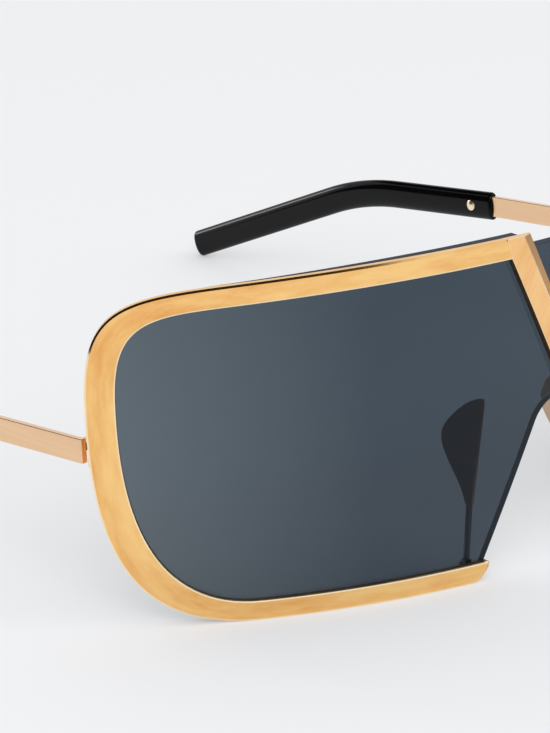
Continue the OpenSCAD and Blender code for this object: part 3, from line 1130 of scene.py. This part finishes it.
@dataclass
class ShieldLens:
    """The one-piece lens, with its top notch, nose cut-out and end-piece notches."""

    wrap: Wrap
    metal: FrontMetal
    finishes: Finishes
    lens_t: float = 1.9
    inset: float = 0.45
    top_inset: float = 0.1
    notch_drop: float = 2.25
    nose_foot: float = 20.4
    flank_lean: float = 27.0
    arch_r: float = 6.0
    arch_steps: int = 14
    notch_h: float = 5.1
    notch_in: float = 1.6832
    hinge_s: float = 79.4
    edge_round: float = 0.12
    edge_facing: float = 0.9

    def half_outline(self) -> list[Point]:
        """The lens's left half, from the top notch round to the top of the nose cut-out.

        Returns:
            Distances along the face with heights.
        """
        m, along = self.metal, self.wrap.along
        notch_z, top = m.rim_top - self.notch_drop, m.rim_top - self.top_inset
        gap = [(along(m.arm_line(z, m.arm_face_w)), z) for z in (notch_z, top)]
        edge = Outline(
            start=along(m.mitre_x),
            top=top,
            drop=m.rim_top_drop + self.inset - self.top_inset,
            reach=m.rim_reach - self.inset,
            bottom=self.inset,
            pulls=m.outer_pulls,
        ).points()
        # a notch lets the end piece through
        high, low = HINGE_Z + self.notch_h / 2, HINGE_Z - self.notch_h / 2
        notch_s = self.hinge_s - self.notch_in
        upper = [p for p in edge if p[1] > high]
        lower = [p for p in edge if p[1] < low]
        cut = [(upper[-1][0], high), (notch_s, high), (notch_s, low), (lower[0][0], low)]
        # the nose cut-out's flank runs into its upper corner
        lean = math.radians(self.flank_lean)
        arch_z = m.arch_top - self.arch_r
        touch_z = arch_z + self.arch_r * math.sin(lean)
        arch_x = self.nose_foot - touch_z * math.tan(lean) - self.arch_r * math.cos(lean)
        nose = [(along(self.nose_foot - self.inset * math.tan(lean)), self.inset)]
        for i in range(self.arch_steps + 1):
            a = lean + (math.pi / 2 - lean) * i / self.arch_steps
            x, z = arch_x + self.arch_r * math.cos(a), arch_z + self.arch_r * math.sin(a)
            nose.append((along(x), z))
        return gap + upper + cut + lower + nose

    def build(self) -> None:
        """Builds the lens."""
        half = self.half_outline()
        bm = outline_sheet(half + [(-s, z) for s, z in reversed(half)])
        slice_sheet(bm, self.wrap.bend_step)
        thicken(bm, self.lens_t)
        ease(bm, sharp_edges(bm), self.edge_round, ROUND)
        # the edge faces take the near-black painted shade, and those round the nose cut-out the
        # paler painted light
        for face in bm.faces:
            middle = face.calc_center_median()
            at_nose = abs(middle.x) < self.nose_foot and middle.z < self.metal.arch_top + FLAT
            if abs(face.normal.y) < self.edge_facing:
                face.material_index = WALL if at_nose else EDGE
        bmesh.ops.translate(bm, vec=(0, self.metal.rim_t, 0), verts=bm.verts)
        self.wrap.bend(bm)
        finishes = [self.finishes.lens, self.finishes.lens_edge, self.finishes.nose_edge]
        make_piece(bm, "lens_shield", FRONT, Slot.LENS, finishes, "shield_lens")


@dataclass
class SmallParts:
    """Pads, screws, end pieces, hinge leaves and rivets: the CAD nodes, the end pieces and hinge
    leaves with eased edges.
    """

    wrap: Wrap
    finishes: Finishes
    edge_round: float = 0.1
    pad_back_facing: float = -0.2
    pad_base: Place = (11.02, 12.55, 11.7)
    pad_lean: float = 14.0
    pad_turn: float = 15.4
    pad_w: float = 6.45
    pad_h: float = 12.6
    pad_bulge: float = 6.4
    shoulder_drop: float = 2.0
    shoulder_curve: float = 1.5

    def dress(
        self, node: str, name: str, body: str, finish: bpy.types.Material, width: float = 0.0
    ) -> None:
        """Makes a piece from a CAD node, with its sharp edges eased.

        Args:
            node: the CAD node.
            name: the piece's name.
            body: the CAD body.
            finish: the finish.
            width: the leg of the edges' bevel, or 0.
        """
        bm = node_copy(node)
        if width:
            ease(bm, sharp_edges(bm), width, ROUND)
        make_piece(bm, name, body, Slot.GOLD, [finish], node)

    def slope_shoulder(self, bm: bmesh.types.BMesh, side: Side) -> None:
        """Lowers a pad leaf's shoulder behind its point, in the leaf's own plane.

        Args:
            bm: the pad.
            side: the wearer's side.
        """
        x, y, z = self.pad_base
        place = (
            Matrix.Diagonal((-side.value, 1, 1, 1))
            @ Matrix.Translation((-x, y - self.wrap.half_depth, z))
            @ Matrix.Rotation(math.radians(self.pad_turn), 4, "Z")
            @ Matrix.Rotation(math.radians(self.pad_lean), 4, "Y")
        )
        into = place.inverted()
        for v in bm.verts:
            p = into @ v.co
            rise = (p.z - self.pad_bulge) / (self.pad_h - self.pad_bulge)
            if rise > 0:
                back = min(1.0, max(0.0, p.y / self.pad_w))
                p.z -= self.shoulder_drop * back**self.shoulder_curve * rise
                v.co = place @ p

    def build_pad(self, side: Side) -> None:
        """Makes a nose pad, gold on the nose's side and painted dull grey on the other, a
        painted shade.

        Args:
            side: the wearer's side.
        """
        node = f"nose_pad_{side.label}"
        finishes = [self.finishes.pad, self.finishes.pad_back]
        back = finishes.index(self.finishes.pad_back)
        bm = node_copy(node)
        self.slope_shoulder(bm, side)
        # painted shade: faces turned away from the nose take the grey finish
        for face in bm.faces:
            if face.normal.x * side.value > self.pad_back_facing:
                face.material_index = back
        make_piece(bm, f"pad_{side.label}", FRONT, Slot.GOLD, finishes, node)

    def build(self) -> None:
        """Dresses every small part."""
        hard, rivet = self.finishes.hardware, self.finishes.rivet
        for kind in ("lens_screw", "pad_screw"):
            self.dress(f"{kind}s", f"{kind}_set", FRONT, hard)
        for side in Side:
            self.build_pad(side)
            label = side.label
            for node, name, body, finish, width in (
                ("end_piece", "end_lug", FRONT, hard, self.edge_round),
                ("hinge_screw", "hinge_pin", FRONT, hard, 0.0),
                ("temple_hinge", "hinge_leaf", side.temple, hard, self.edge_round),
                ("tip_rivet", "rivet", side.temple, rivet, 0.0),
            ):
                self.dress(f"{node}_{label}", f"{name}_{label}", body, finish, width)


# The temples


@dataclass
class Temple:
    """One temple: the flat strip and its bent tip."""

    side: Side
    wrap: Wrap
    finishes: Finishes
    hinge: Place = (68.8682, 31.8478, HINGE_Z)
    slope: float = 3.0
    toe_in: float = 0.5
    strip_in: float = 3.64512
    strip_nose: float = 1.54205
    strip_t: float = 1.0
    strip_h: float = 3.7
    strip_chamfer: float = 0.45
    strip_edge: float = 0.1
    strip_sharp: float = 30.0
    strip_in_tip: float = 4.0
    tip_start: float = 57.4
    tip_h: float = 5.1
    tip_t: float = 2.5
    tip_fullness: float = 2.15
    section_steps: int = 44
    tip_dip: float = 2.0
    tip_first_l: float = 24.9
    bend_r: float = 60.0
    bend_turn: float = 17.2
    bend_steps: int = 16
    tip_last_l: float = 42.0
    tip_end_r: float = 1.1
    tip_mouth_r: float = 0.55
    round_steps: int = 6

    @property
    def strip_middle(self) -> float:
        """The strip's middle, across from the hinge axis."""
        return self.strip_in + self.strip_t / 2

    def frame_matrix(self) -> Matrix:
        """Finds the left temple's frame at rest, from its hinge, slope and toe-in.

        Returns:
            The matrix from the temple's frame to the row frame.
        """
        x, y, z = self.hinge
        return (
            Matrix.Translation((x, y - self.wrap.half_depth, z))
            @ Matrix.Rotation(math.radians(-self.slope), 4, "X")
            @ Matrix.Rotation(math.radians(self.toe_in), 4, "Z")
        )

    def put(self, bm: bmesh.types.BMesh, matrix: Matrix) -> None:
        """Puts a mesh drawn for the left temple in place, on this temple's side.

        Args:
            bm: the mesh.
            matrix: from the mesh's own frame to the left temple's place.
        """
        bmesh.ops.transform(bm, matrix=matrix, verts=bm.verts)
        bmesh.ops.scale(bm, vec=(self.side.value, 1, 1), verts=bm.verts)
        bmesh.ops.recalc_face_normals(bm, faces=bm.faces[:])

    def make_part(
        self, bm: bmesh.types.BMesh, part: str, slot: Slot, finish: bpy.types.Material
    ) -> None:
        """Makes a piece of this temple.

        Args:
            bm: the mesh, in place.
            part: the part's name, without its side.
            slot: the record's material slot.
            finish: its finish.
        """
        name = f"{part}_{self.side.label}"
        make_piece(bm, name, self.side.temple, slot, [finish], f"temple_{name}")

    def build_strip(self) -> None:
        """Builds the flat strip, which runs a little way into the tip."""
        bm = bmesh.new()
        bmesh.ops.create_cube(bm, size=1.0)
        length = self.strip_nose + self.tip_start + self.strip_in_tip
        middle = (self.strip_middle, length / 2 - self.strip_nose, 0)
        bmesh.ops.scale(bm, vec=(self.strip_t, length, self.strip_h), verts=bm.verts)
        bmesh.ops.translate(bm, vec=middle, verts=bm.verts)
        outside, nose = self.strip_in + self.strip_t, -self.strip_nose

        def at_nose(a: Vector, b: Vector) -> bool:
            """A test for the upright edge at the strip's nose, on its outer face."""
            return all(abs(p.x - outside) < FLAT and abs(p.y - nose) < FLAT for p in (a, b))

        ease(bm, sharp_edges(bm, at_nose), self.strip_chamfer)
        ease(bm, sharp_edges(bm, degrees=self.strip_sharp), self.strip_edge, ROUND)
        self.put(bm, self.frame_matrix())
        self.make_part(bm, "strip", Slot.ROSE, self.finishes.strip)

    def round_end(
        self, bm: bmesh.types.BMesh, cap: bmesh.types.BMFace, along: Vector, r: float
    ) -> None:
        """Closes one end of the tip with a rounded edge.

        Args:
            bm: the tip.
            cap: the end's face.
            along: the direction out of the end.
            r: the radius of the rounded edge.
        """
        centre = cap.calc_center_median()
        up = along.cross(Vector((1, 0, 0))).normalized()
        for i in range(1, self.round_steps + 1):
            was, now = (math.pi / 2 * k / self.round_steps for k in (i - 1, i))
            wide, tall = (
                (size / 2 - r * (1 - math.cos(now))) / (size / 2 - r * (1 - math.cos(was)))
                for size in (self.tip_t, self.tip_h)
            )
            step = along * (r * (math.sin(now) - math.sin(was)))
            cap = run_on(bm, cap, step)
            centre = centre + step
            for v in cap.verts:
                off = v.co - centre
                v.co = centre + Vector((off.x * wide, 0, 0)) + up * (off.dot(up) * tall)

    def build_tip(self) -> None:
        """Builds the tip: a rounded section run straight, round the bend and straight on."""
        bm = bmesh.new()
        bmesh.ops.create_circle(bm, cap_ends=True, segments=self.section_steps, radius=1.0)
        for v in bm.verts:
            across, high = (
                math.copysign(abs(c) ** (2 / self.tip_fullness), c) / 2 for c in (v.co.x, v.co.y)
            )
            v.co = (across * self.tip_t, high * self.tip_h, 0)
        # the section stands up, across the tip's run along +y
        upright = Matrix.Rotation(math.pi / 2, 3, "X")
        bmesh.ops.rotate(bm, cent=(0, 0, 0), matrix=upright, verts=bm.verts)
        bmesh.ops.translate(bm, vec=(0, self.tip_mouth_r, 0), verts=bm.verts)
        straight = Vector((0, self.tip_first_l - self.tip_mouth_r, 0))
        end = run_on(bm, bm.faces[:][0], straight, keep=True)
        turn = math.radians(self.bend_turn)
        bent = bmesh.ops.spin(
            bm,
            geom=[end],
            cent=(0, self.tip_first_l, -self.bend_r),
            axis=(-1, 0, 0),
            angle=turn,
            steps=self.bend_steps,
            use_duplicate=False,
        )["geom_last"]
        end = next(f for f in bent if isinstance(f, bmesh.types.BMFace))
        along = Vector((0, math.cos(turn), -math.sin(turn)))
        end = run_on(bm, end, along * (self.tip_last_l - self.tip_end_r))
        self.round_end(bm, end, along, self.tip_end_r)
        mouth = min(bm.faces, key=lambda f: f.calc_center_median().y)
        self.round_end(bm, mouth, Vector((0, -1, 0)), self.tip_mouth_r)
        dip = Matrix.Rotation(math.radians(-self.tip_dip), 4, "X")
        at_tip = Matrix.Translation((self.strip_middle, self.tip_start, 0)) @ dip
        self.put(bm, self.frame_matrix() @ at_tip)
        self.make_part(bm, "tip", Slot.TIP, self.finishes.tip)

    def build(self) -> None:
        """Builds the strip and the tip."""
        self.build_strip()
        self.build_tip()


# The studio


@dataclass(frozen=True)
class Softbox:
    """A square soft light that faces the object: its place, its side and its power in watts."""

    name: str
    at: Place
    size: float
    power: float

    def build(self) -> None:
        """Adds the light."""
        data = bpy.data.lights.new(self.name, "AREA")
        data.shape, data.size, data.energy = "SQUARE", self.size, self.power
        lamp = bpy.data.objects.new(self.name, data)
        lamp.location = self.at
        lamp.rotation_mode = "QUATERNION"
        lamp.rotation_quaternion = (-Vector(self.at)).to_track_quat("-Z", "Y")
        bpy.context.scene.collection.objects.link(lamp)


@dataclass(frozen=True)
class Flag:
    """A photographer's flag: a flat card that only reflections see.

    Its low and high corners have the same x, or the same z.
    """

    name: str
    low: Place
    high: Place
    colour: str

    def build(self) -> None:
        """Adds the card."""
        (x0, y0, z0), (x1, y1, z1) = self.low, self.high
        bm = bmesh.new()
        corners = ((x0, y0, z0), (x1, y0, z1), (x1, y1, z1), (x0, y1, z0))
        bm.faces.new([bm.verts.new(c) for c in corners])
        material, tree = new_material(f"{self.name}_card")
        shader = add_node(
            tree, "BsdfDiffuse", {"Color": linear(self.colour), "Roughness": 1.0}
        )
        set_surface(tree, shader)
        flag = new_object(bm, self.name, [material])
        flag.visible_camera = flag.visible_diffuse = flag.visible_shadow = False
        flag.visible_transmission = False


@dataclass
class Studio:
    """A pale floor, soft light from all round and the camera at the photograph's angle."""

    floor_r: float = 6.0
    floor_steps: int = 96
    floor_colour: str = "#EBECEE"
    floor_card: str = "#C2C3C4"
    floor_glow: float = 0.36
    sky: str = "#F9F9FA"
    sky_strength: float = 0.92
    camera_at: Place = (-0.400988, -0.459035, 0.202894)
    camera_right: Place = (0.7358, -0.6767, -0.0248)
    camera_up: Place = (0.2206, 0.2049, 0.9536)
    camera_lens: float = 185.77
    camera_sensor: float = 36.0
    camera_range: tuple[float, float] = (0.01, 50.0)
    softboxes: tuple[Softbox, ...] = (
        Softbox("softbox_left", (-0.9, -1.2, 1.0), 0.9, 10.5),
        Softbox("softbox_right", (0.9, -1.9, 1.5), 1.2, 5.0),
        Softbox("softbox_back", (-0.35, 1.5, 0.4), 0.3, 1.6),
    )
    flags: tuple[Flag, ...] = (
        Flag("flag_above", (-2.6, -1.3, 0.85), (0.22, 1.3, 0.85), "#2E2620"),
        Flag("flag_back", (-1.9, -0.2, 0.03), (-1.9, 3.0, 1.4), "#2E2620"),
        Flag("flag_right", (0.25, -0.3, 0.0), (0.25, 0.05, 0.12), "#BCBABC"),
    )

    def build_floor(self) -> None:
        """Lays the floor, a matt white sheet on a light table, which keeps shadows pale."""
        bm = bmesh.new()
        bmesh.ops.create_circle(
            bm, cap_ends=True, segments=self.floor_steps, radius=self.floor_r
        )
        material, tree = new_material("matt_sheet_on_light_table")
        shader = add_node(
            tree,
            "BsdfPrincipled",
            {
                "Base Color": linear(self.floor_card),
                "Roughness": 0.9,
                "Specular IOR Level": 0.1,
                "Emission Color": linear(self.floor_colour),
                "Emission Strength": self.floor_glow,
            },
        )
        set_surface(tree, shader)
        new_object(bm, "studio_floor", [material])

    def build_world(self) -> None:
        """Lights the whole room evenly, with a pale background for the camera."""
        world = bpy.data.worlds.new("soft_room")
        bpy.context.scene.world = world
        world.use_nodes = True
        tree = world.node_tree
        tree.nodes.clear()
        path = add_node(tree, "LightPath")
        light = add_node(
            tree, "Background", {"Color": linear(self.sky), "Strength": self.sky_strength}
        )
        seen = add_node(
            tree, "Background", {"Color": linear(self.floor_colour), "Strength": 1.0}
        )
        mix = add_node(
            tree,
            "MixShader",
            {0: path.outputs["Is Camera Ray"], 1: light.outputs[0], 2: seen.outputs[0]},
        )
        add_node(tree, "OutputWorld", {"Surface": mix.outputs[0]})

    def build_camera(self) -> None:
        """Places the camera where the photograph was taken from."""
        data = bpy.data.cameras.new("photo_camera")
        data.lens, data.sensor_width = self.camera_lens, self.camera_sensor
        data.clip_start, data.clip_end = self.camera_range
        camera = bpy.data.objects.new("photo_camera", data)
        right, up = Vector(self.camera_right), Vector(self.camera_up)
        turn = Matrix((right, up, right.cross(up))).transposed().to_quaternion()
        camera.matrix_world = Matrix.Translation(self.camera_at) @ turn.to_matrix().to_4x4()
        bpy.context.scene.collection.objects.link(camera)
        bpy.context.scene.camera = camera

    def build(self) -> None:
        """Builds the whole studio."""
        self.build_camera()
        self.build_floor()
        self.build_world()
        for fitting in self.softboxes + self.flags:
            fitting.build()
        bpy.context.scene.view_settings.view_transform = "Standard"


def main() -> None:
    """Builds the object and its studio, piece by piece."""
    logging.basicConfig(level=logging.INFO, format="%(name)s: %(message)s")
    bpy.context.view_layer.update()
    wrap, finishes = Wrap(), Finishes()
    metal = FrontMetal(wrap, finishes)
    metal.build()
    ShieldLens(wrap, metal, finishes).build()
    SmallParts(wrap, finishes).build()
    for side in Side:
        Temple(side, wrap, finishes).build()
    Studio().build()


if __name__ == "__main__":
    main()
